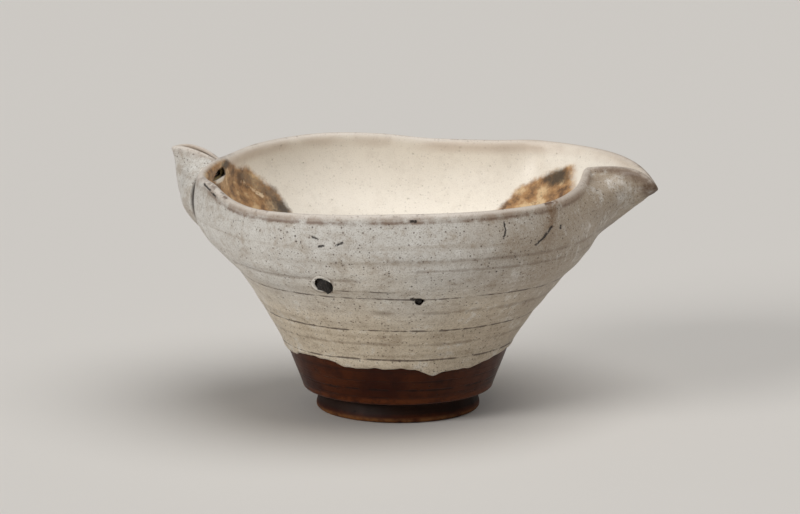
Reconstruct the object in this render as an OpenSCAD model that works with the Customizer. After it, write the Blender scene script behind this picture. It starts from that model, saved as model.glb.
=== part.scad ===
// Katakuchi sake pourer: a thrown stoneware bowl on a turned foot ring, with a
// drawn-out pouring lip on one side, a luted spout over a pierced hole on the
// other, and white slip over the red-brown clay.
// Millimetres, +Z up. The origin is the middle of the foot ring on the table.
// The pouring lip points along +X and the spout points along -X.

/* [Bowl] */
// Height of the rim above the table, before it waves
rim_h = 81.5; // [74:0.5:92]
// Outside radius of the rim, before it is drawn out
rim_r = 69; // [62:0.5:76]
// Outside radius of the wall where it meets the base
base_r = 33; // [31:0.5:38]
// Thickness of the clay wall below the rim
wall = 3.6; // [3:0.1:5]
// Thickness of the clay at the rim
rim_wall = 2.4; // [2:0.1:3]
// Height below the rim over which the wall thins
rim_taper = 16; // [10:1:30]
// Height of the rounding on top of the rim
rim_round = 1.4; // [1:0.1:2.5]
// Thickness of the clay floor
floor_t = 5.5; // [4:0.5:8]
// Height over which the floor rounds up into the wall
floor_rise = 8; // [6:0.5:11]

/* [Foot ring] */
// Height of the foot ring
foot_h = 7.5; // [5:0.5:10]
// Outside radius of the foot ring at the table
foot_r = 28.7; // [27:0.1:30]
// Radius of the recess inside the foot ring
recess_r = 21.5; // [16:0.5:23]
// Depth of the turned waist under the base
waist = 1.2; // [0:0.1:2]
// Height of the upright edge at the bottom of the foot ring
foot_edge = 2.4; // [1:0.1:3]
// Width of the chamfer that lifts the foot ring's outer corner
foot_chamfer = 0.8; // [0.3:0.1:1.2]

/* [Slip] */
// Thickness of the white slip
slip = 0.5; // [0.3:0.1:0.9]
// Height of the slip's lower edge above the table
slip_line_h = 22; // [15:0.5:30]
// How strongly the slip's lower edge waves up and down
slip_wave = 1; // [0:0.1:1.5]
// Length of the drip that runs below the edge
drip_len = 2; // [0:0.1:4]
// Side of the bowl where the drip runs, in degrees
drip_angle = 288; // [240:1:330]

/* [Pouring lip] */
// How far the lip's tip reaches past the rim's radius
lip_reach = 20.5; // [15:0.5:31]
// Direction of the lip's tip, in degrees
lip_tip_angle = -5; // [-12:1:4]
// How far the lip's tip hangs below the rim
lip_fall = 4; // [-2:0.5:8]
// Depth of the notch in the wall that the lip fills
lip_drop = 28; // [18:0.5:32]
// Thickness of the lip at its free edge
lip_edge = 1.6; // [1.2:0.1:3.4]
// How far the lip swells outwards below its edge
lip_swell = 2; // [0:0.5:4]

/* [Spout] */
// How far the spout's tip reaches past the rim's radius
spout_reach = 14; // [10:0.5:23]
// Direction of the spout's tip, in degrees
spout_tip_angle = 163; // [158:1:168]
// Height of the spout's tip above the rim
spout_rise = 5; // [3:0.5:10]
// Height of the wall that the spout is luted to
spout_drop = 30; // [24:0.5:36]
// Thickness of the spout's clay
spout_wall = 2.3; // [2:0.1:3.2]
// Thickness of the spout at its free edge
spout_edge = 1.6; // [1.2:0.1:2.3]
// How far the spout's keel swells outwards
spout_swell = 10; // [6:0.5:12]

/* [Pour hole] */
// Width of the pierced hole
hole_w = 19; // [12:0.5:20]
// Height of the pierced hole
hole_h = 4.8; // [4.6:0.1:6.5]
// Height of the clay that bridges the hole, with its round top
hole_bridge = 2.2; // [2.2:0.1:5]

/* [Stones in the wall] */
// Radius of the large stone that has burst through the slip
stone_r = 2.6; // [1.2:0.1:3]
// Radius of the small stone
pebble_r = 1; // [0.6:0.1:1.6]
// How far the stones' middles lie inside the slip's surface
stone_sink = 0.9; // [0.5:0.1:1.4]

/* [Hidden] */

clay_brown = [0.36, 0.19, 0.10];
slip_white = [0.86, 0.83, 0.77];
stone_black = [0.10, 0.09, 0.08];

// Fineness of the shells: steps across the lip and the spout, round the rest
// of the bowl, up the clay below the slip, up the slip, and across the floor
sheet_cols = 16;
bowl_cols = 46;
clay_rows = 3;
wall_rows = 10;
floor_rows = 4;
sheet_rows = 6;
// Turns over a rounded edge, between its outside at 0 and its inside at 180 degrees
over_edge = [45, 90, 135];
// Facets of the foot ring and the stones, and the step of the hole's arch in degrees
foot_facets = 96;
stone_facets = 32;
arch_step = 15;
// Step along a free edge used to find its run
edge_step = 0.02;

// Half width of the drip, in degrees
drip_width = 5;
// Clearance where a piece sits on a curved wall
seat_gap = 0.1;
// Share of the wall's height above which the rim's waves pull it out of round
pull_start = 0.3;
pull_power = 1.3;
// How far the middle of the wall leans towards the lip, and where it starts
lean = 2.6;
lean_start = 0.15;
lean_power = 1.3;
// How steeply the floor turns up at the wall
floor_power = 4;
// Step used to find a wall's slope
slope_step = 0.5;
// Triangles with less area than this are left out
least_area = 0.0001;

// The wall's profile: [share of the height, share of the way from base_r to rim_r]
profile = [
    [-0.1, -0.08],
    [0, 0],
    [0.1, 0.08],
    [0.28, 0.235],
    [0.4, 0.4],
    [0.55, 0.63],
    [0.69, 0.9],
    [0.78, 1.01],
    [0.88, 1.045],
    [1, 1],
    [1.1, 0.94]
];

// The rim's waves: [angle, further out than rim_r, higher than rim_h]
lip_near_angle = 4;
lip_far_angle = 48;
rim_waves = [
    [lip_near_angle, 0, 2],
    [lip_far_angle, 11.5, 2],
    [62, 4, 1.5],
    [80, 1, 1.5],
    [96, 1, 3.2],
    [114, 2, 4],
    [136, 1.5, 3],
    [151, 0.5, 1.5],
    [165, -1.5, 2],
    [182, 0.2, 0.6],
    [197, -1.2, 0.5],
    [206, -1.2, -1],
    [214, -0.5, -2.2],
    [226, 1.5, -2.8],
    [240, 2.5, -2.3],
    [270, 0, -1.5],
    [300, 0, -1.5],
    [318, 0, -1.5],
    [335, -2, -0.5],
    [352, -3, 0.5]
];
// The waves of the slip's lower edge: [angle, higher than slip_line_h]
slip_waves = [
    [0, 1.2],
    [60, 0],
    [120, 0.8],
    [170, -0.4],
    [200, 0.5],
    [222, 2.2],
    [233, 1.6],
    [243, 0],
    [262, 0],
    [272, 0.2],
    [283, -1],
    [300, -1.6],
    [316, -0.8],
    [333, 1.2]
];
// Stations that run once round the bowl, with their neighbours repeated past both ends
function looped(st, turn) = concat(
    [for (i = [2, 1]) st[len(st) - i] - turn],
    st,
    [for (i = [0, 1, 2]) st[i] + turn]
);
rim_loop = looped(rim_waves, [360, 0, 0]);
slip_loop = looped(slip_waves, [360, 0]);

// How the notch for the lip crowds towards its near side, and rounds its bottom
lip_crowd = 1.5;
notch_power = 0.9;
// Bevel of the notch, whose outside is cut further back, in degrees, and lower than its inside
lip_scarf = 3.5;
lip_bevel = 3;
// Angle over which the slip on the rim ends beside the lip
lip_seam = 0.6;
// Share of the way from the root to the free edge where a drawn sheet is fullest
full_at = 0.4;
// How far the lip's swell sags, as a share of how far it goes out
lip_sag = 0.5;
// Handles that bend the lip's free edge, from its near end, its tip and its far end
lip_near_handle = [9, -3, 2];
lip_tip_near_handle = [-4, -3, 8];
lip_tip_far_handle = [-4, 18, 6];
lip_far_handle = [27, -13, 0.5];
// Share of the lip's steps that lie between its near end and its tip
lip_tip_share = 0.375;

// The middle of the wall that the spout is luted to, its span in degrees, how much the span
// narrows at the top, and how far below the rim's rounding the spout starts
spout_mid_angle = 164;
spout_span = 30;
spout_pinch = 0.5;
spout_start = 0.3;
// Height of the rounding at the two ends of the spout's edge
spout_end_round = 0.3;
// Handles that bend the spout's free edge, as for the lip
spout_near_handle = [0, 5, 7];
spout_tip_near_handle = [5, 0, 1.5];
spout_tip_far_handle = [5, 11, 1];
spout_far_handle = [-3, 5, 4];
spout_tip_share = 0.5;

// How far inside the rim's radius the cut for the hole starts, and its run outwards
hole_start = 2 * wall;
hole_run = 3 * wall;

// Places of the stones: side of the bowl in degrees, and share of the rim's height
stone_angle = 246.5;
stone_level = 0.67;
pebble_angle = 277;
pebble_level = 0.61;

// A smooth curve through stations whose first number rises
function station_after(st, x, i = 1) =
    i >= len(st) - 3 || x < st[i + 1][0] ? i : station_after(st, x, i + 1);
function station_slope(st, i) = (st[i + 1] - st[i - 1]) / (st[i + 1][0] - st[i - 1][0]);
function smooth(st, x) =
    let (i = station_after(st, x))
    let (gap = st[i + 1][0] - st[i][0])
    let (t = (x - st[i][0]) / gap)
    st[i] * (2 * pow(t, 3) - 3 * pow(t, 2) + 1)
    + station_slope(st, i) * gap * (pow(t, 3) - 2 * pow(t, 2) + t)
    + st[i + 1] * (3 * pow(t, 2) - 2 * pow(t, 3))
    + station_slope(st, i + 1) * gap * (pow(t, 3) - pow(t, 2));

function mix(a, b, t) = a * (1 - t) + b * t;
function unit(v) = v / norm(v);
function polar(a, r, z) = [r * cos(a), r * sin(a), z];
// A curve from a to b, bent by a handle at each end
function bent(a, a_handle, b, b_handle, t) =
    pow(1 - t, 3) * a
    + 3 * pow(1 - t, 2) * t * (a + a_handle)
    + 3 * (1 - t) * pow(t, 2) * (b + b_handle)
    + pow(t, 3) * b;

// The bowl's wall: the rim at an angle, and the radius at an angle and a height
function round_angle(a) =
    a < lip_near_angle ? round_angle(a + 360) : a >= lip_near_angle + 360 ? round_angle(a - 360) : a;
function rim_at(a) = let (w = smooth(rim_loop, round_angle(a))) [rim_r + w[1], rim_h + w[2]];
function pull(u) = pow(max(0, (u - pull_start) / (1 - pull_start)), pull_power);
function leaning(u) =
    lean * pow(sin(180 * pow(max(0, (u - lean_start) / (1 - lean_start)), lean_power)), 2);
function outer_r(a, z) =
    let (rim = rim_at(a))
    let (u = (z - foot_h) / (rim[1] - foot_h))
    base_r + (rim_r - base_r) * smooth(profile, u)[1] + (rim[0] - rim_r) * pull(u) + leaning(u) * cos(a);
function slant(a, z) =
    let (run = outer_r(a, z + slope_step) - outer_r(a, z - slope_step))
    norm([1, run / (2 * slope_step)]);
// A point of the wall, a depth in from the clay's outside, square to the wall
function wall_point(a, z, depth) = polar(a, outer_r(a, z) - depth * slant(a, z), z);
// A point of the wall's inside, which comes closer to the outside towards the rim
function thinning(t) = t * t * (3 - 2 * t);
function wall_at(a, z) =
    let (below = (rim_at(a)[1] - rim_round - z) / rim_taper)
    mix(rim_wall, wall, thinning(max(0, min(1, below))));
function inside_point(a, z, grow) = wall_point(a, z, wall_at(a, z) + grow);

// The columns of points round the bowl:
// [angle inside, angle outside, height where the inside ends, where the outside ends, is it in the notch]
lip_steps = [for (i = [0:sheet_cols]) i / sheet_cols];
function lip_angle(s) = mix(lip_near_angle, lip_far_angle, pow(s, lip_crowd));
function scarf_angle(s) = lip_angle(s) - lip_scarf * cos(90 * s);
function notch_top(s) =
    rim_at(lip_angle(s))[1] - lip_drop * pow(abs(sin(180 * s)), notch_power) - rim_round;
function bevel_top(s) = notch_top(s) - lip_bevel * sin(180 * s);
rest_start = lip_far_angle + lip_seam;
rest_end = scarf_angle(0) + 360 - lip_seam;
columns = concat(
    [for (s = lip_steps) [lip_angle(s), scarf_angle(s), notch_top(s), bevel_top(s), true]],
    [
        for (i = [0:bowl_cols])
            let (a = mix(rest_start, rest_end, i / bowl_cols))
            let (top = rim_at(a)[1] - rim_round)
            [a, a, top, top, false]
    ]
);

function slip_edge(a) =
    slip_line_h
    + slip_wave * smooth(slip_loop, a)[1]
    - drip_len * exp(-pow((a - drip_angle) / drip_width, 2));
function floor_join() = foot_h + floor_t + floor_rise;

// Points up one column: clay below the slip, the wall behind the slip, the rim, the inside, the floor.
// grow is how far the surface lies outside the clay's own surface.
function clay_heights(c) =
    [for (k = [0:clay_rows - 1]) mix(foot_h, slip_edge(c[1]), k / clay_rows)];
function outside_points(c, grow) =
    [for (k = [0:wall_rows]) wall_point(c[1], mix(slip_edge(c[1]), c[3], k / wall_rows), -grow)];
function rim_points(c, grow, turns) =
    let (out = wall_point(c[1], c[3], -grow))
    let (in = inside_point(c[0], c[2], grow))
    [
        for (t = turns)
            (out + in) / 2 + (out - in) / 2 * cos(t) + [0, 0, (rim_round + grow) * sin(t)]
    ];
function inside_points(c, grow) =
    [for (k = [0:wall_rows]) inside_point(c[0], mix(c[2], floor_join(), k / wall_rows), grow)];
function floor_points(c, grow) =
    let (edge = inside_point(c[0], floor_join(), grow))
    [
        for (k = [1:floor_rows])
            let (f = 1 - k / floor_rows)
            [edge[0] * f, edge[1] * f, foot_h + floor_t + grow + (floor_rise - grow) * pow(f, floor_power)]
    ];
function bowl_column(c) = concat(
    [[0, 0, foot_h]],
    [for (z = clay_heights(c)) wall_point(c[1], z, 0)],
    outside_points(c, 0),
    rim_points(c, 0, over_edge),
    inside_points(c, 0),
    floor_points(c, 0)
);
// In the notch the slip stops at the wall's top, where the lip's own slip takes over
function outside_slip_column(c, grow) =
    concat(outside_points(c, grow), rim_points(c, grow, c[4] ? [0, 0] : [over_edge[0], over_edge[1]]));
function inside_slip_column(c, grow) = concat(
    rim_points(c, grow, c[4] ? [180, 180] : [over_edge[1], over_edge[2]]),
    inside_points(c, grow),
    floor_points(c, grow)
);

// Faces of a grid of points, and of a layer between two grids.
// cols wrap round when ring is true, and rows wrap round when loop is true.
function cell(i, j, i2, j2, rows) =
    [[i * rows + j, i * rows + j2, i2 * rows + j2], [i * rows + j, i2 * rows + j2, i2 * rows + j]];
function grid_faces(cols, rows, ring, loop) = [
    for (i = [0:cols - (ring ? 1 : 2)])
        for (j = [0:rows - (loop ? 1 : 2)])
            each cell(i, j, (i + 1) % cols, (j + 1) % rows, rows)
];
function flip(faces) = [for (f = faces) [f[0], f[2], f[1]]];
function shift(faces, n) = [for (f = faces) f + [n, n, n]];
function strip(a, b, n) = [
    for (i = [0:n - 2])
        each [[a[i], a[i + 1], b[i + 1]], [a[i], b[i + 1], b[i]]]
];
function row_of(j, cols, rows, ring) = [for (i = [0:cols - (ring ? 0 : 1)]) (i % cols) * rows + j];
function col_of(i, rows) = [for (j = [0:rows - 1]) i * rows + j];
function shifted(list, n) = [for (v = list) v + n];
function layer_faces(cols, rows, ring) =
    let (n = cols * rows)
    let (first = row_of(0, cols, rows, ring))
    let (last = row_of(rows - 1, cols, rows, ring))
    let (near = col_of(0, rows))
    let (far = col_of(cols - 1, rows))
    concat(
        grid_faces(cols, rows, ring, false),
        shift(flip(grid_faces(cols, rows, ring, false)), n),
        strip(first, shifted(first, n), len(first)),
        flip(strip(last, shifted(last, n), len(last))),
        ring ? [] : flip(strip(near, shifted(near, n), rows)),
        ring ? [] : strip(far, shifted(far, n), rows)
    );
function area(p, f) = norm(cross(p[f[1]] - p[f[0]], p[f[2]] - p[f[0]]));
module shell(points, faces) {
    polyhedron(points, [for (f = faces) if (area(points, f) > least_area) f]);
}
module closed_shell(grid, ring, loop) {
    points = [for (col = grid) each col];
    shell(points, grid_faces(len(grid), len(grid[0]), ring, loop));
}
module layer(outer, inner, ring) {
    points = [for (col = concat(outer, inner)) each col];
    shell(points, layer_faces(len(outer), len(outer[0]), ring));
}

// A drawn sheet of clay that grows from the wall to a free edge.
// root is the pair of points [outside, inside] on the wall, edge the middle of the free edge,
// half the free edge's half thickness as a vector, top the height of its rounding,
// and swell and hollow how far the sheet's outside and inside bow out.
function sheet_end(s) = pow(1 - sin(180 * s), 2);
// The share of the swell on the way from the root to the edge
function fullness(t) = t / full_at * pow((1 - t) / (1 - full_at), 1 / full_at - 1);
function sheet_side(r, e, swell, t) = mix(r, e, t) + fullness(t) * swell;
function sheet_column(root, edge, half, top, swell, hollow, grow) =
    let (steps = [for (k = [0:sheet_rows]) k / sheet_rows])
    let (outs = [for (t = steps) sheet_side(root[0], edge + half, swell, t)])
    let (ins = [for (t = steps) sheet_side(root[1], edge - half, hollow, t)])
    let (square = [for (k = [0:sheet_rows]) unit(outs[k] - ins[k]) * grow])
    concat(
        [for (k = [0:sheet_rows]) outs[k] + square[k]],
        [
            for (t = over_edge)
                edge + (half + unit(half) * grow) * cos(t) + [0, 0, (top + grow) * sin(t)]
        ],
        [for (k = [sheet_rows:-1:0]) ins[k] - square[k]]
    );
// The sheet's seat on the wall, over an edge whose rounding is round high
function root_column(root, round) = [
    for (i = [len(over_edge) - 1:-1:0])
        let (t = over_edge[i])
        (root[0] + root[1]) / 2 + (root[0] - root[1]) / 2 * cos(t) + [0, 0, round * sin(t)]
];
// The free edge runs from its near end to the tip and on to its far end
function free_edge(near, near_h, tip, tip_near_h, tip_far_h, far, far_h, share, s) =
    s <= share
        ? bent(near, near_h, tip, tip_near_h, s / share)
        : bent(tip, tip_far_h, far, far_h, (s - share) / (1 - share));
// The free edge's half thickness is square to its run and level, and becomes the root's own at its ends
function edge_half(run, root, thick, s) =
    let (own = (root[0] - root[1]) / 2)
    let (k = sheet_end(s))
    unit(mix(unit([run[1], -run[0], 0]), unit(own), k)) * mix(thick / 2, norm(own), k);

// The pouring lip
function lip_root(s) = [
    wall_point(scarf_angle(s), bevel_top(s), 0),
    inside_point(lip_angle(s), notch_top(s), 0)
];
lip_near_end = (lip_root(0)[0] + lip_root(0)[1]) / 2;
lip_far_end = (lip_root(1)[0] + lip_root(1)[1]) / 2;
lip_tip = polar(lip_tip_angle, rim_r + lip_reach, rim_h - lip_fall);
function lip_free_edge(s) = free_edge(
    lip_near_end, lip_near_handle,
    lip_tip, lip_tip_near_handle, lip_tip_far_handle,
    lip_far_end, lip_far_handle,
    lip_tip_share, s
);
function lip_run(s) = lip_free_edge(min(1, s + edge_step)) - lip_free_edge(max(0, s - edge_step));
function lip_bow(s) = polar(lip_tip_angle, lip_swell, -lip_sag * lip_swell) * sin(180 * s);
function lip_column(s, grow) = sheet_column(
    lip_root(s), lip_free_edge(s),
    edge_half(lip_run(s), lip_root(s), lip_edge, s),
    mix(lip_edge / 2, rim_round, sheet_end(s)),
    lip_bow(s), lip_bow(s), grow
);

// The spout
spout_steps = [for (i = [sheet_cols:-1:0]) i / sheet_cols];
function spout_seat(a, drop) = wall_point(a, rim_at(a)[1] - rim_round - drop, -slip - seat_gap);
function spout_root(s) =
    let (side = sin(180 * s))
    let (half_span = spout_span / 2 * (1 - spout_pinch * sheet_end(s)))
    let (a = spout_mid_angle + half_span * cos(180 * s))
    let (inset = spout_wall / rim_r * 180 / PI * cos(180 * s))
    [
        spout_seat(a, spout_start + spout_drop * side),
        spout_seat(a - inset, spout_start + (spout_drop - spout_wall) * side)
    ];
spout_near_end = (spout_root(0)[0] + spout_root(0)[1]) / 2;
spout_far_end = (spout_root(1)[0] + spout_root(1)[1]) / 2;
spout_tip = polar(spout_tip_angle, rim_r + spout_reach, rim_h + spout_rise);
function spout_free_edge(s) = free_edge(
    spout_near_end, spout_near_handle,
    spout_tip, spout_tip_near_handle, spout_tip_far_handle,
    spout_far_end, spout_far_handle,
    spout_tip_share, s
);
function spout_run(s) =
    spout_free_edge(min(1, s + edge_step)) - spout_free_edge(max(0, s - edge_step));
function spout_bow(s, swell) = polar(spout_mid_angle, swell, 0) * sin(180 * s);
function spout_column(s, grow) = sheet_column(
    spout_root(s), spout_free_edge(s),
    edge_half(-spout_run(s), spout_root(s), spout_edge, s),
    mix(spout_edge / 2, spout_end_round, sheet_end(s)),
    spout_bow(s, spout_swell), spout_bow(s, spout_swell - spout_wall), grow
);
function spout_seam(s) = root_column(spout_root(s), spout_end_round * sheet_end(s));

// The pierced hole is a half moon, cut along the spout's direction just under the rim
module pour_hole() {
    rim = rim_at(spout_mid_angle);
    sill = rim[1] - hole_bridge - hole_h;
    rotate([0, 0, spout_mid_angle])
        translate([rim[0] - hole_start, 0, sill])
            rotate([90, 0, 90])
                linear_extrude(hole_run)
                    polygon([for (t = [0:arch_step:180]) [hole_w / 2 * cos(t), hole_h * sin(t)]]);
}

module stone_at(a, level, r) {
    z = level * rim_h;
    rotate([0, 0, a])
        translate([outer_r(a, z) + slip - stone_sink, 0, z])
            sphere(r, $fn = stone_facets);
}
module stones() {
    stone_at(stone_angle, stone_level, stone_r);
    stone_at(pebble_angle, pebble_level, pebble_r);
}

module bowl() {
    color(clay_brown)
        difference() {
            closed_shell([for (c = columns) bowl_column(c)], true, false);
            pour_hole();
            stones();
        }
}

module foot_ring() {
    waist_top = foot_h - waist;
    color(clay_brown)
        rotate_extrude($fn = foot_facets)
            polygon([
                [recess_r, 0],
                [foot_r - foot_chamfer, 0],
                [foot_r, foot_chamfer],
                [foot_r, foot_edge],
                [foot_r - waist, waist_top],
                [foot_r, foot_h],
                [recess_r, foot_h]
            ]);
}

module pouring_lip() {
    color(clay_brown)
        closed_shell(
            [for (s = lip_steps) concat(lip_column(s, 0), root_column(lip_root(s), rim_round))],
            false, true
        );
}

module spout() {
    color(clay_brown)
        closed_shell(
            [for (s = spout_steps) concat(spout_column(s, 0), spout_seam(s))],
            false, true
        );
}

module outside_slip() {
    color(slip_white)
        difference() {
            layer(
                [for (c = columns) outside_slip_column(c, slip)],
                [for (c = columns) outside_slip_column(c, 0)],
                true
            );
            pour_hole();
            stones();
        }
}

module inside_slip() {
    color(slip_white)
        difference() {
            layer(
                [for (c = columns) inside_slip_column(c, slip)],
                [for (c = columns) inside_slip_column(c, 0)],
                true
            );
            pour_hole();
        }
}

module lip_slip() {
    color(slip_white)
        layer(
            [for (s = lip_steps) lip_column(s, slip)],
            [for (s = lip_steps) lip_column(s, 0)],
            false
        );
}

module spout_slip() {
    color(slip_white)
        layer(
            [for (s = spout_steps) spout_column(s, slip)],
            [for (s = spout_steps) spout_column(s, 0)],
            false
        );
}

module wall_stones() {
    color(stone_black)
        stones();
}

bowl();
foot_ring();
pouring_lip();
spout();
outside_slip();
inside_slip();
lip_slip();
spout_slip();
wall_stones();
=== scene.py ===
import math

import bpy
import numpy as np
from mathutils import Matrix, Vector, noise


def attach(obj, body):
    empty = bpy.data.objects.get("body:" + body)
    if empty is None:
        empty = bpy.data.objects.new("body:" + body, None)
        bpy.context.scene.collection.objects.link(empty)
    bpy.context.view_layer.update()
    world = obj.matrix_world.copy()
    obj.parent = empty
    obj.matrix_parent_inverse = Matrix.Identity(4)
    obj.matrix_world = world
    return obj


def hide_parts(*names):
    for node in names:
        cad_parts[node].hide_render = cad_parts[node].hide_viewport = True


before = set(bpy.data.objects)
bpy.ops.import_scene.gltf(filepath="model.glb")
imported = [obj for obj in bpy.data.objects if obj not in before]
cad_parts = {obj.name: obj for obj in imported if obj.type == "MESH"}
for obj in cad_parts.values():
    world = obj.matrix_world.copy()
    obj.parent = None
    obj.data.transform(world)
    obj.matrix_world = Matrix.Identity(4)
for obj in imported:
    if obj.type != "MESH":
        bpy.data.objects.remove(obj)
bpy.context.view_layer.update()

# Sizes of the pourer in millimetres and degrees. They follow the part's source, apart from thinner edges,
# a smaller hole, and places that were fitted closer to the photograph.
MM, TO_MM = 0.001, 1000.0
RIM_H, RIM_R, BASE_R, RIM_ROUND = 81.5, 69, 33, 1.4
WALL, RIM_WALL, RIM_TAPER = 3.6, 2, 16
FLOOR_T, FLOOR_RISE, FLOOR_POWER = 5.5, 8, 4
FOOT_H, FOOT_R, RECESS_R, WAIST, FOOT_EDGE, FOOT_CHAMFER = 7.5, 28.7, 21.5, 1.2, 2.4, 0.8
FLOOR_Z = FOOT_H + FLOOR_T
SLIP, SLIP_LINE_H, DRIP_LEN, DRIP_ANGLE, DRIP_WIDTH = 0.5, 22, 1.3, 288, 5
LIP_REACH, LIP_TIP_ANGLE, LIP_FALL, LIP_DROP = 20.2, -5, 3, 28
LIP_EDGE, LIP_SWELL, LIP_SAG, LIP_TIP_SHARE = 1, 0.4, 0.5, 0.375
LIP_NEAR, LIP_FAR, LIP_CROWD, NOTCH_POWER, LIP_SCARF, LIP_BEVEL = 4, 48, 1.5, 0.9, 3.5, 3
SPOUT_REACH, SPOUT_TIP_ANGLE, SPOUT_RISE, SPOUT_DROP = 14, 163, 5.85, 30
SPOUT_WALL, SPOUT_EDGE, SPOUT_SWELL, SPOUT_MID, SPOUT_SPAN, SPOUT_NEAR = 2.3, 1, 10, 164, 30, 10
SPOUT_PINCH, SPOUT_SKEW, SPOUT_START, SEAT_GAP = 0.93, 2, 0.3, 0.1
HOLE_W, HOLE_H, HOLE_BRIDGE = 15, 3.8, 1.9
STONE_R, STONE_ANGLE, STONE_LEVEL = 2.6, 247.4, 0.684
PEBBLE_R, PEBBLE_ANGLE, PEBBLE_LEVEL = 1, 277, 0.61
STONE_SINK = 0.9
# The shares of the height where the rim's waves and the lean to the right begin.
PULL_START, PULL_POWER = 0.3, 1.3
LEAN, LEAN_START, LEAN_POWER = 2.6, 0.15, 1.3
# The wall swells beside the spout, and its two long sides are drawn in a little.
BULGE, BULGE_ANGLE, BULGE_SPAN, BULGE_H, BULGE_RISE = 1.2, 190, 14, 66, 8
TUCK, TUCK_FROM, TUCK_OVER = 0.4, 66, 4
# How far up a drawn sheet its swelling is fullest.
FULL_AT = 0.4
# The clay inside a drawn sheet: its share of the thickness, how far it lies towards the inside, its ends.
CORE, CORE_LIE, CORE_ENDS = 0.15, 0.8, (0.15, 0.85)
# The coat's thickness, how far the clay keeps back under it, and the rise over which it draws back.
COAT_T, UNDER, UNDER_RISE = 0.45, 1, 12
# The clay bowl: the height that it shows up to, its round at the foot, its rim's drop beside the lip, and
# its gap below the lip's notch.
BARE_H, BASE_ROUND, CLAY_DROP, CLAY_DROP_SPAN, NOTCH_GAP = 30, 1.4, 14, 14, 4

# The wall's profile: share of the height, share of the way from BASE_R to RIM_R.
PROFILE = [
    [-0.1, -0.08], [0, 0], [0.1, 0.08], [0.28, 0.235], [0.4, 0.4], [0.55, 0.63],
    [0.69, 0.9], [0.78, 1.01], [0.88, 1.045], [1, 1], [1.1, 0.94],
]
# The rim's waves: angle, further out than RIM_R, higher than RIM_H.
RIM_WAVES = [
    [LIP_NEAR, -1.4, 2], [LIP_FAR, 11.5, 2], [62, 4, 1.5], [80, 1, 1.5], [96, 1, 3.2], [114, 2, 4],
    [136, 1.5, 3], [151, 0.5, 1.5], [165, -1.5, 2], [182, 0.2, 0.6], [197, -1.2, 0.5], [206, -1.2, -1],
    [214, -0.5, -2.2], [226, 1.5, -2.8], [240, 2.5, -2.3], [270, 0, -1.5], [300, 0, -1.5], [318, 0, -1.5],
    [335, -2, -0.5], [352, -3, 0.5],
]
# The waves of the slip's lower edge: angle, higher than SLIP_LINE_H.
SLIP_WAVES = [
    [0, 1.2], [60, 0], [120, 0.8], [170, -0.4], [200, 0.5], [222, 2.2], [233, 1.6], [243, 0],
    [262, 0], [272, 0.2], [283, -1], [300, -1.6], [316, -0.8], [333, 1.2],
]
# The soft rings that the potter's fingers left outside: height, how far they stand out.
FINGER_RINGS = [
    [10, 0], [16, 0], [22, 0.1], [25.2, -0.22], [29, 0.12], [33, 0.2], [36.8, -0.28], [40, 0.16],
    [43, -0.08], [46, 0.2], [50.3, -0.3], [54, 0.16], [57.5, -0.2], [60, 0.2], [63, -0.3],
    [66, -0.1], [70, -0.4], [76, -0.4], [82, -0.3], [90, -0.3], [95, -0.3],
]
# The angles at which points are laid over the round of an edge, and the row among them on its crest.
EDGE_TURN = np.linspace(0, 180, 11)[1:-1]
EDGE_CREST = len(EDGE_TURN) // 2


# Curves and the thrown form, in millimetres and degrees.

def looped(stations):
    st = np.array(stations, float)
    turn = np.zeros(st.shape[1])
    turn[0] = 360
    return np.vstack([st[-2:] - turn, st, st[:3] + turn])


def smooth(stations, x, part=1):
    """A smooth curve through stations whose first number rises."""
    st = np.array(stations, float)
    x = np.asarray(x, float)
    i = np.clip(np.searchsorted(st[:, 0], x, "right") - 1, 1, len(st) - 3)
    slope = np.zeros(len(st))
    slope[1:-1] = (st[2:, part] - st[:-2, part]) / (st[2:, 0] - st[:-2, 0])
    gap = st[i + 1, 0] - st[i, 0]
    t = (x - st[i, 0]) / gap
    return (
        st[i, part] * (2 * t**3 - 3 * t**2 + 1)
        + slope[i] * gap * (t**3 - 2 * t**2 + t)
        + st[i + 1, part] * (3 * t**2 - 2 * t**3)
        + slope[i + 1] * gap * (t**3 - t**2)
    )


RIM_LOOP = looped(RIM_WAVES)
SLIP_LOOP = looped(SLIP_WAVES)


def sin_deg(a):
    return np.sin(np.radians(a))


def cos_deg(a):
    return np.cos(np.radians(a))


def ease(t):
    t = np.clip(t, 0, 1)
    return t * t * (3 - 2 * t)


def mix(a, b, t):
    return a * (1 - t) + b * t


def unit(v):
    return v / np.maximum(np.linalg.norm(v, axis=-1, keepdims=True), 1e-9)


def polar(a, r, z):
    a, r, z = np.broadcast_arrays(np.asarray(a, float), r, z)
    return np.stack([r * cos_deg(a), r * sin_deg(a), z + 0 * a], axis=-1)


def rim_out(a):
    return smooth(RIM_LOOP, (a - LIP_NEAR) % 360 + LIP_NEAR, 1)


def rim_top(a):
    return RIM_H + smooth(RIM_LOOP, (a - LIP_NEAR) % 360 + LIP_NEAR, 2)


def outer_r(a, z):
    u = (z - FOOT_H) / (rim_top(a) - FOOT_H)
    pull = np.maximum(0, (u - PULL_START) / (1 - PULL_START)) ** PULL_POWER
    lean = np.maximum(0, (u - LEAN_START) / (1 - LEAN_START)) ** LEAN_POWER
    away = ((a % 360 - BULGE_ANGLE) / BULGE_SPAN) ** 2 + ((z - BULGE_H) / BULGE_RISE) ** 2
    return (
        BASE_R
        + (RIM_R - BASE_R) * smooth(PROFILE, u)
        + rim_out(a) * pull
        + LEAN * sin_deg(180 * lean) ** 2 * cos_deg(a)
        + BULGE * np.exp(-away)
    )


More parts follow.
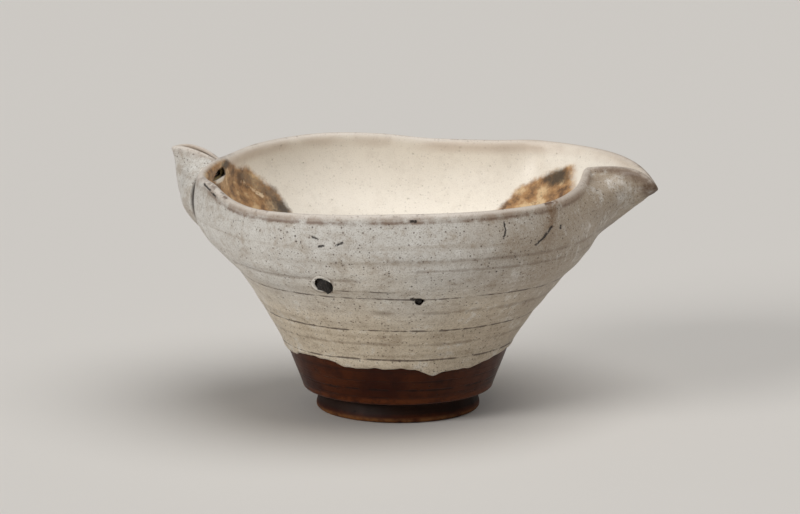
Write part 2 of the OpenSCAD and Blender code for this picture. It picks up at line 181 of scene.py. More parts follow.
def wall_point(a, z, depth):
    """A point of the wall, a depth in from the clay's outside, square to the wall."""
    a, z = np.broadcast_arrays(np.asarray(a, float), np.asarray(z, float))
    run = outer_r(a, z + 0.5) - outer_r(a, z - 0.5)
    return polar(a, outer_r(a, z) - depth * np.sqrt(1 + run * run), z)


def wall_thick(a, z):
    """The clay's thickness, which thins towards the rim."""
    return mix(RIM_WALL, WALL, ease((rim_top(a) - RIM_ROUND - z) / RIM_TAPER))


def inside_point(a, z, grow):
    return wall_point(a, z, wall_thick(a, z) + grow)


def slip_edge(a):
    a = np.asarray(a, float) % 360
    ragged = 0.18 * sin_deg(17 * a + 40) + 0.14 * sin_deg(31 * a) + 0.1 * sin_deg(53 * a + 70)
    drip = DRIP_LEN * np.exp(-(((a - DRIP_ANGLE) / DRIP_WIDTH) ** 2))
    return SLIP_LINE_H + smooth(SLIP_LOOP, a) - drip + ragged


def bent(a, a_handle, b, b_handle, t):
    t = t[:, None]
    return (
        (1 - t) ** 3 * a
        + 3 * (1 - t) ** 2 * t * (a + a_handle)
        + 3 * (1 - t) * t**2 * (b + b_handle)
        + t**3 * b
    )


def free_edge(near, near_h, tip, tip_near_h, tip_far_h, far, far_h, share, s):
    first = bent(near, near_h, tip, tip_near_h, np.minimum(s, share) / share)
    second = bent(tip, tip_far_h, far, far_h, (np.maximum(s, share) - share) / (1 - share))
    return np.where((s <= share)[:, None], first, second)


def edge_ends(root):
    """Where a free edge starts and ends: half way through its sheet's root."""
    return [sum(p[0] for p in root(np.array([e]))) / 2 for e in (0.0, 1.0)]


def edge_run(edge, s, step=0.02):
    """The way that a free edge runs."""
    return edge(np.minimum(1, s + step)) - edge(np.maximum(0, s - step))


def sheet_end(s):
    """1 at a sheet's two ends, 0 in its middle."""
    return (1 - sin_deg(180 * s)) ** 2


def edge_half(run, root_out, root_in, thick, s):
    own = (root_out - root_in) / 2
    k = sheet_end(s)[:, None]
    level = unit(np.stack([run[:, 1], -run[:, 0], 0 * s], axis=-1))
    length = mix(thick / 2, np.linalg.norm(own, axis=-1, keepdims=True), k)
    return unit(mix(level, unit(own), k)) * length


def fullness(t):
    return t / FULL_AT * ((1 - t) / (1 - FULL_AT)) ** (1 / FULL_AT - 1)


def drawn_sheet(root_out, root_in, edge, half, top, swell, hollow, grow, steps):
    """The outside, the turn over the edge and the inside of a drawn sheet, column by column."""
    t = np.linspace(0, 1, steps)[None, :, None]
    full = fullness(t)
    out = mix(root_out[:, None], (edge + half)[:, None], t) + full * swell[:, None]
    ins = mix(root_in[:, None], (edge - half)[:, None], t) + full * hollow[:, None]
    square = unit(out - ins) * grow
    turn = EDGE_TURN[None, :, None]
    arm = (half + unit(half) * grow)[:, None]
    rise = (top + grow)[:, None, None] * sin_deg(turn) * np.array([0, 0, 1])
    over = edge[:, None] + arm * cos_deg(turn) + rise
    return out + square, over, (ins - square)[:, ::-1]


# The pouring lip's columns, from its near end at 0 to its far end at 1.

def lip_angle(s):
    return mix(LIP_NEAR, LIP_FAR, s**LIP_CROWD)


def scarf_angle(s):
    return lip_angle(s) - LIP_SCARF * cos_deg(90 * s)


def notch_top(s):
    return rim_top(lip_angle(s)) - LIP_DROP * np.abs(sin_deg(180 * s)) ** NOTCH_POWER - RIM_ROUND


def bevel_top(s):
    return notch_top(s) - LIP_BEVEL * sin_deg(180 * s)


def lip_root(s):
    return wall_point(scarf_angle(s), bevel_top(s), 0), inside_point(lip_angle(s), notch_top(s), 0)


def lip_free_edge(s):
    ends = edge_ends(lip_root)
    tip = polar(LIP_TIP_ANGLE, RIM_R + LIP_REACH, RIM_H - LIP_FALL)
    return free_edge(
        ends[0], (9, -3, 2),
        tip, (-4, -3, 8), (-4, 18, 6),
        ends[1], (27, -13, 0.5), LIP_TIP_SHARE, s,
    )


def lip_sheet(s, grow, steps):
    out, ins = lip_root(s)
    run = edge_run(lip_free_edge, s)
    bow = polar(LIP_TIP_ANGLE, LIP_SWELL, -LIP_SAG * LIP_SWELL) * sin_deg(180 * s)[:, None]
    top = mix(LIP_EDGE / 2, RIM_ROUND, sheet_end(s))
    return drawn_sheet(
        out, ins, lip_free_edge(s), edge_half(run, out, ins, LIP_EDGE, s), top, bow, bow, grow, steps
    )


# The spout's columns, from its near end at 1 to its far end at 0.

def spout_seat(a, drop, crest):
    """Where the spout is luted to the wall: outside it, or on top of the rim."""
    side = wall_point(a, rim_top(a) - RIM_ROUND - drop, -SLIP - SEAT_GAP)
    top = wall_point(a, rim_top(a) - 0.3, RIM_WALL / 2)
    return mix(side, top, crest[:, None])


def spout_root(s):
    side = sin_deg(180 * s)
    crest = (1 - side) ** 3
    half_span = (SPOUT_SPAN / 2 + SPOUT_NEAR * (1 - s)) * (1 - SPOUT_PINCH * (1 - side) ** 4)
    a = SPOUT_MID - SPOUT_SKEW * sheet_end(s) + half_span * cos_deg(180 * s)
    inset = math.degrees(SPOUT_WALL / RIM_R) * cos_deg(180 * s) * (1 - crest)
    drop = side**1.5
    return (
        spout_seat(a, SPOUT_START + SPOUT_DROP * drop, crest),
        spout_seat(a - inset, SPOUT_START + (SPOUT_DROP - SPOUT_WALL) * drop, 0.97 * crest),
    )


def spout_free_edge(s):
    ends = edge_ends(spout_root)
    tip = polar(SPOUT_TIP_ANGLE, RIM_R + SPOUT_REACH, RIM_H + SPOUT_RISE)
    return free_edge(
        ends[0], (-3.5, -4.5, 3.6),
        tip, (2.2, -0.2, 1), (5, 7, 1),
        ends[1], (-4.7, 4.6, 3.6), 0.5, s,
    )


def spout_sheet(s, grow, steps):
    out, ins = spout_root(s)
    run = edge_run(spout_free_edge, s)
    side = sin_deg(180 * s)[:, None]
    top = np.full(len(s), SPOUT_EDGE / 2)
    level = unit(np.stack([-run[:, 1], run[:, 0], 0 * s], axis=-1))
    return drawn_sheet(
        out, ins, spout_free_edge(s), level * SPOUT_EDGE / 2, top,
        polar(SPOUT_MID, SPOUT_SWELL, 0) * side, polar(SPOUT_MID, SPOUT_SWELL - SPOUT_WALL, 0) * side,
        grow, steps,
    )


# Making meshes.

# Points nearer than this, in metres, are one.
MERGE = 0.00001


def only(obj):
    bpy.ops.object.select_all(action="DESELECT")
    obj.select_set(True)
    bpy.context.view_layer.objects.active = obj


def edit(obj, *steps):
    only(obj)
    bpy.ops.object.mode_set(mode="EDIT")
    bpy.ops.mesh.select_all(action="SELECT")
    for step in steps:
        step()
    bpy.ops.object.mode_set(mode="OBJECT")


def apply(obj, kind, **settings):
    only(obj)
    mod = obj.modifiers.new(kind.lower(), kind)
    for key, value in settings.items():
        setattr(mod, key, value)
    bpy.ops.object.modifier_apply(modifier=mod.name)


def laid_grid(name, points, along=None, across=None):
    """A grid laid over columns of points, with how far they lie along and across as its UV map."""
    cols, rows = points.shape[:2]
    bpy.ops.mesh.primitive_grid_add(x_subdivisions=rows - 1, y_subdivisions=cols - 1, size=1)
    obj = bpy.context.active_object
    obj.name = name
    obj.data.name = name
    obj.data.vertices.foreach_set("co", (points.reshape(-1, 3) * MM).astype(np.float32).ravel())
    if along is not None:
        uv = np.stack(np.broadcast_arrays(along, across), axis=-1)
        corner = np.zeros(len(obj.data.loops), np.int32)
        obj.data.loops.foreach_get("vertex_index", corner)
        layer = obj.data.uv_layers.active
        layer.name = "rim_wrap"
        layer.data.foreach_set("uv", uv.reshape(-1, 2)[corner].astype(np.float32).ravel())
    obj.data.update()
    edit(obj, lambda: bpy.ops.mesh.remove_doubles(threshold=MERGE))
    only(obj)
    bpy.ops.object.shade_smooth()
    return obj


def face_out(obj):
    edit(obj, lambda: bpy.ops.mesh.normals_make_consistent(inside=False))


def close_ends(obj):
    """Fills the two open ends of a tube."""
    edit(
        obj,
        lambda: bpy.ops.mesh.select_all(action="DESELECT"),
        lambda: bpy.ops.mesh.select_non_manifold(extend=False),
        lambda: bpy.ops.mesh.fill_holes(sides=0),
    )
    face_out(obj)


def thicken(obj):
    """Gives a laid surface the coat's thickness, inwards."""
    apply(obj, "SOLIDIFY", thickness=COAT_T * MM, offset=-1, use_rim=True)
    face_out(obj)


def lengths(points):
    """How far along its path, or its column, each point lies."""
    step = np.linalg.norm(np.diff(points, axis=-2), axis=-1)
    return np.insert(np.cumsum(step, axis=-1), 0, 0, axis=-1)


def spaced(path, count):
    """Points spaced evenly along a path, with their distances from its start."""
    run = lengths(path)
    at = np.linspace(0, run[-1], count)
    return np.stack([np.interp(at, run, path[:, k]) for k in range(3)], axis=-1), at


# The pieces. First how many columns and rows of points they have, and the steps these are spaced from.

LIP_COLS, BOWL_COLS, OUT_ROWS, IN_ROWS = 76, 204, 62, 84
LIP_STEPS, WALL_STEPS, FLOOR_STEPS = 40, 60, 30
SPOUT_COLS, SPOUT_ROWS, CORE_COLS, CORE_ROWS, FOOT_COLS, FOOT_ROWS = 72, 36, 40, 14, 144, 61
CLAY_COLS, LOW_ROWS, HIGH_ROWS, INNER_ROWS = 180, 40, 20, 24
# The angle from which the coat's inside turns towards the lip's seam.
SCARF_FROM = 330
# The coat thins out over these heights above its lower edge, which is sunk in the clay.
SKIRT, SKIRT_SINK = np.array([0, 0.2, 0.5, 0.9, 1.4]), 0.05
SKIRT_ROWS = len(SKIRT) - 1
CREST_ROW = SKIRT_ROWS + OUT_ROWS + EDGE_CREST
# How far from the lip's seam it is smoothed, inside and outside, and how far below the edge that begins.
SEAM_REACH, SEAM_FULL = 8, 12
HOLLOW_REACH, HOLLOW_FROM, HOLLOW_OVER = 15, 1.5, 7


def ringed(points):
    """Points pushed out and in by the rings of the potter's fingers."""
    r = np.hypot(points[..., 0], points[..., 1])
    angle = np.degrees(np.arctan2(points[..., 1], points[..., 0]))
    # The rings wander up and down, and are stronger in some places than in others.
    z = points[..., 2] + 0.7 * sin_deg(angle + 30) + 0.4 * sin_deg(2 * angle)
    strength = 1 + 0.35 * sin_deg(angle * 3 + 50) + 0.2 * sin_deg(angle * 7)
    push = smooth(FINGER_RINGS, z) * strength
    out = points.copy()
    out[..., 0] *= 1 + push / r
    out[..., 1] *= 1 + push / r
    return out


def bed(foot, share, z, rise):
    """The floor, from the foot of the wall in to the middle."""
    return np.stack([foot[0] * share, foot[1] * share, z + rise * share**FLOOR_POWER], axis=-1)


def coat_points():
    """The coat over the bowl and the lip, from its ragged lower edge up, over the rim and down inside."""
    s = np.linspace(0, 1, LIP_COLS)
    a_out = np.linspace(LIP_FAR, 360 + scarf_angle(0.0), BOWL_COLS)[1:]
    a_in = a_out + LIP_SCARF * ease((a_out - SCARF_FROM) / (a_out[-1] - SCARF_FROM))
    outs, overs, ins = lip_sheet(s, SLIP, LIP_STEPS)
    columns, seam_away = [], []
    skirt_grow = SLIP * np.sqrt(1 - (1 - SKIRT / SKIRT[-1]) ** 2) - SKIRT_SINK
    shares = np.linspace(0, 1, WALL_STEPS)
    floor = np.linspace(1, 0, FLOOR_STEPS)[1:]

    def up(angle, top):
        edge = slip_edge(angle)
        first = wall_point(angle, edge + SKIRT, -skirt_grow)
        return first, ringed(wall_point(angle, mix(edge + SKIRT[-1], top, shares), -SLIP))

    def down(angle, top):
        wall_in = inside_point(angle, mix(top, FLOOR_Z + FLOOR_RISE, shares), SLIP)
        return np.vstack([wall_in, bed(wall_in[-1], floor, FLOOR_Z + SLIP, FLOOR_RISE - SLIP)])

    def column(first, out_path, over, in_path):
        inn, in_at = spaced(in_path, IN_ROWS)
        columns.append(np.vstack([first[:-1], spaced(out_path, OUT_ROWS)[0], over, inn]))
        return in_at

    for i, share in enumerate(s):
        first, wall_out = up(scarf_angle(share), bevel_top(share))
        wall_in = down(lip_angle(share), notch_top(share))
        out_path = np.vstack([wall_out, outs[i, 1:]])
        in_path = np.vstack([ins[i, :-1], wall_in])
        in_at = column(first, out_path, overs[i], in_path)
        seam_away.append(in_at - lengths(ins[i])[-1])
    turn = EDGE_TURN[:, None]
    for out_angle, in_angle in zip(a_out, a_in):
        first, wall_out = up(out_angle, rim_top(out_angle) - RIM_ROUND)
        wall_in = down(in_angle, rim_top(in_angle) - RIM_ROUND)
        o, i = wall_out[-1], wall_in[0]
        over = (o + i) / 2 + (o - i) / 2 * cos_deg(turn) + (RIM_ROUND + SLIP) * sin_deg(turn) * [0, 0, 1]
        column(first, wall_out, over, wall_in)
    points = np.array(columns)
    y = points[..., 1]
    y -= TUCK * np.sign(y) * ease((np.abs(y) - TUCK_FROM) / TUCK_OVER)
    points[-1] = points[0]
    soften(points, np.array(seam_away), lengths(outs)[:, -1], lip_root(s)[0])
    return points


def soften(points, seam_away, sheet_run, valley):
    """Smooths the inside of the lip's seam a little, and draws its outside into one hollow with the wall."""
    seam = np.zeros(points.shape[:2])
    near = np.exp(-((seam_away / SEAM_REACH) ** 2))
    seam[: len(near), -IN_ROWS:] = near * ease(sheet_run / SEAM_FULL)[:, None]
    outer = slice(SKIRT_ROWS, SKIRT_ROWS + OUT_ROWS)
    away = np.min(np.linalg.norm(points[:, outer, None] - valley[None, None, ::3], axis=-1), axis=-1)
    below = lengths(points[:, ::-1])[:, ::-1]
    below = below[:, outer] - below[:, CREST_ROW, None]
    hollow = np.zeros_like(seam)
    hollow[:, outer] = np.exp(-((away / HOLLOW_REACH) ** 2)) * ease((below - HOLLOW_FROM) / HOLLOW_OVER)
    # The seam is smoothed. The hollow is filled, by moves outwards over changing widths, and then smoothed
    # by steps forth and back that keep its form.
    stages = (
        (seam, 60, 1, 0, (0.25, 0.25)),
        (hollow, 240, 7, 1, (0.25, 0.25)),
        (hollow, 30, 1, 0, (0.3, -0.31)),
    )
    for weight, passes, widest, only_out, steps in stages:
        weight[-1] = weight[0]
        for count in range(passes):
            ring = points[:-1]
            wide = 1 + count % widest
            around = (np.roll(ring, wide, axis=0) + np.roll(ring, -wide, axis=0)) / 2
            updown = ring.copy()
            updown[:, 1:-1] = (ring[:, :-2] + ring[:, 2:]) / 2
            move = steps[count % 2] * (around + updown - 2 * ring) * weight[:-1, :, None]
            sideways = np.roll(ring, -1, axis=0) - np.roll(ring, 1, axis=0)
            out = unit(np.cross(sideways, np.gradient(ring, axis=1)))
            move -= only_out * out * np.minimum(0, (move * out).sum(axis=-1, keepdims=True))
            points[:-1] += move
            points[-1] = points[0]


def slip_coat():
    points = coat_points()
    across = lengths(points)
    across -= across[:, CREST_ROW, None]
    along = lengths(points[:, CREST_ROW])[:, None]
    coat = laid_grid("slip_coat", points, along * MM, across * MM)
    thicken(coat)
    return coat


def spout_coat():
    points = np.concatenate(spout_sheet(np.linspace(0, 1, SPOUT_COLS), SLIP, SPOUT_ROWS), axis=1)
    across = lengths(points)
    across -= across[:, SPOUT_ROWS + EDGE_CREST, None]
    # How far each point stands off the bowl's coat.
    angle = np.degrees(np.arctan2(points[..., 1], points[..., 0])) % 360
    top = rim_top(angle) - RIM_ROUND
    off = np.hypot(points[..., 0], points[..., 1]) - outer_r(angle, np.minimum(points[..., 2], top)) - SLIP
    off += np.maximum(0, points[..., 2] - top)
    spout = laid_grid("spout_coat", points, off * MM, across * MM)
    thicken(spout)
    return spout


def bowl_clay():
    """The clay bowl under the coat, which shows below it."""
    corner = np.linspace(90, 0, 6)
    floor = np.linspace(1, 0, 8)[1:]
    high_from, in_from = BARE_H + 1, BARE_H + 10
    columns = []
    for angle in np.linspace(0, 360, CLAY_COLS + 1):
        s = ((angle - LIP_NEAR) % 360) / (LIP_FAR - LIP_NEAR)
        top = rim_top(angle) - RIM_ROUND
        if s < 1:
            top = min(bevel_top(s ** (1 / LIP_CROWD)) - NOTCH_GAP, top - CLAY_DROP)
        else:
            past_lip = min((LIP_NEAR - angle) % 360, (angle - LIP_FAR) % 360)
            top -= CLAY_DROP * float(ease(1 - past_lip / CLAY_DROP_SPAN))
        corner_r = outer_r(angle, FOOT_H + BASE_ROUND) - BASE_ROUND * (1 - cos_deg(corner))
        round_off = polar(angle, corner_r, FOOT_H + BASE_ROUND * (1 - sin_deg(corner)))
        low = wall_point(angle, np.linspace(FOOT_H + BASE_ROUND + 0.4, BARE_H, LOW_ROWS), 0)
        high_z = np.linspace(high_from, top, HIGH_ROWS)
        high = wall_point(angle, high_z, mix(0.05, UNDER, ease((high_z - high_from) / UNDER_RISE)))
        in_z = np.linspace(top, FLOOR_Z + FLOOR_RISE, INNER_ROWS)
        ins = inside_point(angle, in_z, mix(-0.05, -0.7 * UNDER, ease((in_z - in_from) / UNDER_RISE)))
        over = (high[-1] + ins[0]) / 2 + np.array([0, 0, RIM_ROUND - 0.4])
        inner = bed(ins[-1], floor, FLOOR_Z, FLOOR_RISE)
        columns.append(np.vstack([[[0, 0, FOOT_H]], round_off, low, high, [over], ins, inner]))
    bowl = laid_grid("clay_bowl", np.array(columns))
    face_out(bowl)
    return bowl


def sheet_clay(name, sheet, start):
    """The clay of the lip or the spout, inside its coat."""
    out, _, inn = sheet(np.linspace(*CORE_ENDS, CORE_COLS), -0.1, CORE_ROWS)
    middle = mix(out, inn[:, ::-1], CORE_LIE)
    out = mix(middle, out, CORE)[:, start:]
    inn = (2 * middle[:, start:] - out)[:, ::-1]
    obj = laid_grid(name, np.concatenate([out, inn, out[:, :1]], axis=1))
    close_ends(obj)
    return obj


def foot_ring():
    """The turned ring, spun from its profile, with soft arrises and a worn standing edge."""
    waist_top = FOOT_H - WAIST
    corners = [
        [RECESS_R, FOOT_H], [RECESS_R, 1.2], [RECESS_R + 1.2, 0], [FOOT_R - FOOT_CHAMFER - 0.6, 0],
        [FOOT_R - 0.3, 0.35], [FOOT_R, FOOT_CHAMFER], [FOOT_R, FOOT_EDGE - 0.3], [FOOT_R - 0.15, FOOT_EDGE],
        [FOOT_R - WAIST * 0.8, waist_top - 1], [FOOT_R - WAIST, waist_top], [FOOT_R - 0.6, FOOT_H - 0.3],
        [FOOT_R, FOOT_H],
    ]
    path = np.array([[r, 0, z] for r, z in corners])
    fine = spaced(path, FOOT_ROWS)[0]
    for _ in range(2):
        fine[1:-1] = (fine[:-2] + 2 * fine[1:-1] + fine[2:]) / 4
    a = np.linspace(0, 360, FOOT_COLS + 1)
    points = np.stack([polar(a, r, z) for r, _, z in np.vstack([fine, fine[:1]])], axis=1)
    ring = laid_grid("turned_foot", points)
    face_out(ring)
    return ring


def hole_cutter():
    """A flat-bottomed half oval, from inside the bowl out through the wall."""
    sill = rim_top(SPOUT_MID) - HOLE_BRIDGE - HOLE_H
    t = np.linspace(0, 180, 41)
    out, side, up = polar(SPOUT_MID, 1, 0), polar(SPOUT_MID + 90, 1, 0), np.array([0, 0, 1])
    arch = np.outer(HOLE_W / 2 * cos_deg(t), side) + np.outer(sill + HOLE_H * sin_deg(t), up)
    wall_r = RIM_R + rim_out(SPOUT_MID)
    points = np.array([d * out + arch for d in (wall_r - 2 * WALL, wall_r + 1.2 * WALL)])
    cutter = laid_grid("hole_cutter", np.concatenate([points, points[:, :1]], axis=1))
    close_ends(cutter)
    return cutter


def pierce(obj, cutter):
    apply(obj, "BOOLEAN", operation="DIFFERENCE", object=cutter, solver="EXACT")


def lump(name, angle, level, sink, reach, rough, seed, detail=5):
    """A rough lump in the wall, with its reach across, out of and up the wall."""
    z = level * RIM_H
    r = float(outer_r(angle, z)) + SLIP - sink
    bpy.ops.mesh.primitive_ico_sphere_add(subdivisions=detail, radius=1)
    made = bpy.context.active_object
    made.name = name
    turn = math.radians(angle)
    out = Vector((math.cos(turn), math.sin(turn), -0.6)).normalized()
    side = Vector((-math.sin(turn), math.cos(turn), 0))
    up = out.cross(side) * -1
    place = Vector(polar(angle, r, z).tolist())
    for v in made.data.vertices:
        n = v.co.normalized()
        coarse = noise.noise(n * 1.4 + Vector((seed, 0, 0)))
        fine = noise.noise(n * 4.5 + Vector((0, seed, 0)))
        arm = side * n.x * reach[0] + out * n.y * reach[1] + up * n.z * reach[2]
        v.co = (place + arm * (1 + rough * (coarse * 0.9 + fine * 0.4))) * MM
    face_out(made)
    only(made)
    bpy.ops.object.shade_smooth()
    return made


def burst(angle, level, radius, seed, *walls):
    """Breaks a crater into the walls round a stone."""
    reach = (radius * 1.3, 2.0, radius * 1.7)
    pit = lump("pit", angle, level, sink=0.2, reach=reach, rough=0.14, seed=seed, detail=4)
    for wall in walls:
        pierce(wall, pit)
    bpy.data.objects.remove(pit)


def burst_stone(name, angle, level, radius, seed):
    """A dark angular stone at the bottom of its crater."""
    reach = (radius * 1.16, radius * 0.66, radius * 1.5)
    return lump(name, angle, level, sink=STONE_SINK, reach=reach, rough=0.34, seed=seed)


# Materials. Colours are written as they look on a screen, from 0 to 255.

def paint(r, g, b):
    def linear(c):
        c /= 255
        return c / 12.92 if c <= 0.04045 else ((c + 0.055) / 1.055) ** 2.4

    return (linear(r), linear(g), linear(b), 1)


class Net:
    """A short way to lay out shader nodes: it knows the place shaded, and the colour and height so far."""

    def __init__(self, tree):
        self.tree = tree
        self.place = self.colour = self.height = None

    def node(self, kind, inputs=None, **settings):
        made = self.tree.nodes.new("ShaderNode" + kind)
        for key, value in settings.items():
            setattr(made, key, value)
        for key, value in (inputs or {}).items():
            self.feed(made.inputs[key], value)
        return made

    def feed(self, socket, value):
        if isinstance(value, bpy.types.NodeSocket):
            self.tree.links.new(value, socket)
        else:
            socket.default_value = value

    def calc(self, operation, a, b, c=0.0, clamp=False):
        made = self.node("Math", operation=operation, use_clamp=clamp)
        for socket, value in zip(made.inputs, (a, b, c)):
            self.feed(socket, value)
        return made.outputs[0]

    def vector(self, operation, a, b=(0, 0, 0)):
        made = self.node("VectorMath", operation=operation)
        self.feed(made.inputs[0], a)
        self.feed(made.inputs["Scale" if operation == "SCALE" else 1], b)
        return made.outputs["Value" if operation in ("LENGTH", "DOT_PRODUCT") else "Vector"]

    def ramp(self, value, low, high):
        """0 up to low, 1 from high, smooth between."""
        inputs = {"Value": value, "From Min": low, "From Max": high}
        return self.node("MapRange", inputs, interpolation_type="SMOOTHSTEP").outputs["Result"]

    def fade(self, value, low, high):
        """1 up to low, 0 from high, smooth between."""
        return self.minus(1.0, self.ramp(value, low, high))

    def blend(self, factor, a, b):
        made = self.node("Mix", data_type="RGBA")
        self.feed(made.inputs["Factor"], factor)
        self.feed(made.inputs[6], a)
        self.feed(made.inputs[7], b)
        return made.outputs[2]

    def tinted(self, colour, screen, *masks):
        """A colour with another blended in, as far as all the masks let it."""
        return self.blend(self.times(*masks), colour, paint(*screen))

    def tint(self, screen, *masks):
        self.colour = self.tinted(self.colour, screen, *masks)

    def sink(self, *masks):
        """Lowers the surface where all the masks let it."""
        self.height = self.minus(self.height, self.times(*masks))

    def moved(self, how, by):
        """The place shaded, shifted or stretched."""
        return self.vector(how, self.place, by)

    def noise(self, scale, detail=2.0, roughness=0.5, at=None):
        inputs = {"Scale": scale, "Detail": detail, "Roughness": roughness}
        inputs["Vector"] = self.place if at is None else at
        return self.node("TexNoise", inputs).outputs[0]

    def chain(self, operation, values):
        result = values[0]
        for value in values[1:]:
            result = self.calc(operation, result, value)
        return result

    def times(self, *values):
        return self.chain("MULTIPLY", values)

    def most(self, *values):
        return self.chain("MAXIMUM", values)

    def plus(self, a, b):
        return self.calc("ADD", a, b)

    def minus(self, a, b, clamp=False):
        return self.calc("SUBTRACT", a, b, clamp=clamp)

    def scaled(self, value, by, plus):
        return self.calc("MULTIPLY_ADD", value, by, plus)

    def size(self, value):
        return self.calc("ABSOLUTE", value, 0.0)

    def effect(self, group, at=None, **inputs):
        inputs["Place"] = self.place if at is None else at
        return self.node("Group", inputs, node_tree=group).outputs[0]


def effect_group(name, build, output, **sockets):
    """A node group with named sockets, its insides laid out by build."""
    tree = bpy.data.node_groups.new(name, "ShaderNodeTree")
    for label, value in {"Place": (0, 0, 0), **sockets}.items():
        kind = "NodeSocketVector" if isinstance(value, tuple) else "NodeSocketFloat"
        tree.interface.new_socket(name=label, in_out="INPUT", socket_type=kind).default_value = value
    tree.interface.new_socket(name=output, in_out="OUTPUT", socket_type="NodeSocketFloat")
    net = Net(tree)
    start = tree.nodes.new("NodeGroupInput")
    net.place = start.outputs["Place"]
    end = tree.nodes.new("NodeGroupOutput")
    tree.links.new(build(net, start.outputs), end.inputs[output])
    return tree


def build_specks(net, given):
    scale = net.calc("DIVIDE", 1.0, given["Spacing"])
    cell = net.node("TexVoronoi", {"Vector": net.place, "Scale": scale, "Randomness": 1.0})
    pick = net.node("SeparateColor", {"Color": cell.outputs["Color"]})
    chosen = net.calc("LESS_THAN", pick.outputs["Red"], given["Share"])
    size = net.scaled(pick.outputs["Green"], 0.7, 0.3)
    reach = net.calc("DIVIDE", net.times(given["Radius"], size), given["Spacing"])
    spot = net.minus(1.0, net.calc("DIVIDE", cell.outputs["Distance"], reach), clamp=True)
    return net.times(net.ramp(spot, 0.0, 0.55), chosen)


def build_patch(net, given):
    away = net.moved("SUBTRACT", given["Middle"])
    share = net.vector("LENGTH", net.vector("DIVIDE", away, given["Reach"]))
    wave = net.noise(0.16, 4.0, 0.62)
    fine = net.noise(0.9, 2.0, 0.6)
    ragged = net.scaled(net.minus(wave, 0.5), given["Rag"], share)
    ragged = net.scaled(net.minus(fine, 0.5), net.times(given["Rag"], 0.35), ragged)
    return net.fade(ragged, net.minus(1.0, given["Soft"]), 1.0)


def build_mark(net, given):
    along = net.vector("SUBTRACT", given["To"], given["From"])
    away = net.moved("SUBTRACT", given["From"])
    share = net.calc(
        "DIVIDE", net.vector("DOT_PRODUCT", away, along), net.vector("DOT_PRODUCT", along, along), clamp=True
    )
    near = net.vector("LENGTH", net.vector("SUBTRACT", away, net.vector("SCALE", along, share)))
    wander = net.noise(1.1, 4.0, 0.7)
    near = net.scaled(net.minus(wander, 0.5), net.times(given["Width"], 2.2), near)
    broken = net.ramp(net.noise(0.7, 2.0, 0.6), 0.3, 0.5)
    return net.times(net.fade(near, net.times(given["Width"], 0.3), given["Width"]), broken)


def build_turning(net, given):
    squeezed = net.moved("MULTIPLY", (0.02, 0.02, 1.0))
    return net.noise(net.calc("DIVIDE", 1.0, given["Pitch"]), 3.0, 0.6, squeezed)


SPECKS = effect_group("specks", build_specks, "Mask", Spacing=2.0, Share=0.3, Radius=0.3)
PATCH = effect_group(
    "ragged_patch", build_patch, "Mask", Middle=(0, 0, 0), Reach=(1, 1, 1), Rag=0.8, Soft=0.4
)
MARK = effect_group("drawn_mark", build_mark, "Mask", From=(0, 0, 0), To=(1, 0, 0), Width=0.5)
TURNING = effect_group("turning_lines", build_turning, "Height", Pitch=2.0)


def specks(net, spacing, share, radius, at=None):
    """Specks of up to a radius, in a share of the cells of a spacing."""
    return net.effect(SPECKS, at, Spacing=spacing, Share=share, Radius=radius)


def patches(net, *each):
    """Ragged patches, each with its middle, its reach, how ragged it is and how soft."""
    return net.most(*[
        net.effect(PATCH, Middle=middle, Reach=reach, Rag=rag, Soft=soft)
        for middle, reach, rag, soft in each
    ])


def marks(net, *each, at=None):
    """Drawn marks, each with its start, its end and its width."""
    return net.most(*[
        net.effect(MARK, at, From=start, To=end, Width=width) for start, end, width in each
    ])


def new_material(name):
    mat = bpy.data.materials.new(name)
    mat.use_nodes = True
    mat.node_tree.nodes.clear()
    net = Net(mat.node_tree)
    end = net.node("OutputMaterial")
    shader = net.node("BsdfPrincipled")
    mat.node_tree.links.new(shader.outputs[0], end.inputs["Surface"])
    net.place = net.vector("SCALE", net.node("TexCoord").outputs["Object"], TO_MM)
    return mat, net, shader


def split_place(net):
    """Parts the place shaded into its x, y and z."""
    net.x, net.y, net.z = net.node("SeparateXYZ", {"Vector": net.place}).outputs


def surface(net, shader, rough, sheen, relief):
    """Feeds the colour, the roughness and the height, with its relief in millimetres, into the shader."""
    net.feed(shader.inputs["Base Color"], net.colour)
    net.feed(shader.inputs["Roughness"], rough)
    shader.inputs["Specular IOR Level"].default_value = sheen
    made = net.node("Bump", {"Height": net.height, "Strength": 1.0, "Distance": relief * MM})
    net.feed(shader.inputs["Normal"], made.outputs["Normal"])


def groove(net, level, width, from_x=-90.0, to_x=90.0):
    """A line scored round the wall while it turned, deeper in some places than in others."""
    wander = net.times(net.minus(net.noise(0.03, 2.0), 0.5), 1.6)
    off = net.size(net.minus(net.plus(net.z, wander), level))
    depth = net.noise(0.16, 3.0, 0.7, net.moved("MULTIPLY", (1, 1, 0.2)))
    wide = net.times(net.scaled(net.ramp(depth, 0.3, 0.7), 0.75, 0.25), width)
    line = net.fade(net.calc("DIVIDE", off, wide), 0.2, 1.0)
    ends = net.times(net.ramp(net.x, from_x, from_x + 4.0), net.fade(net.x, to_x - 4.0, to_x))
    return net.times(line, ends, net.ramp(depth, 0.32, 0.56))


def grooves(net, *lines):
    """Scored lines, each with its level, its width and, where it stops short, its ends."""
    return net.most(*[groove(net, *line) for line in lines])


def past_plane(net, point, normal, rag):
    """How far a place lies past a plane whose edge is ragged, in millimetres."""
    far = net.vector("DOT_PRODUCT", net.moved("SUBTRACT", point), normal)
    wave = net.minus(net.noise(0.13, 2.0, 0.5), 0.5)
    fine = net.minus(net.noise(0.9, 2.0, 0.6), 0.5)
    return net.scaled(fine, rag * 0.3, net.scaled(wave, rag, far))


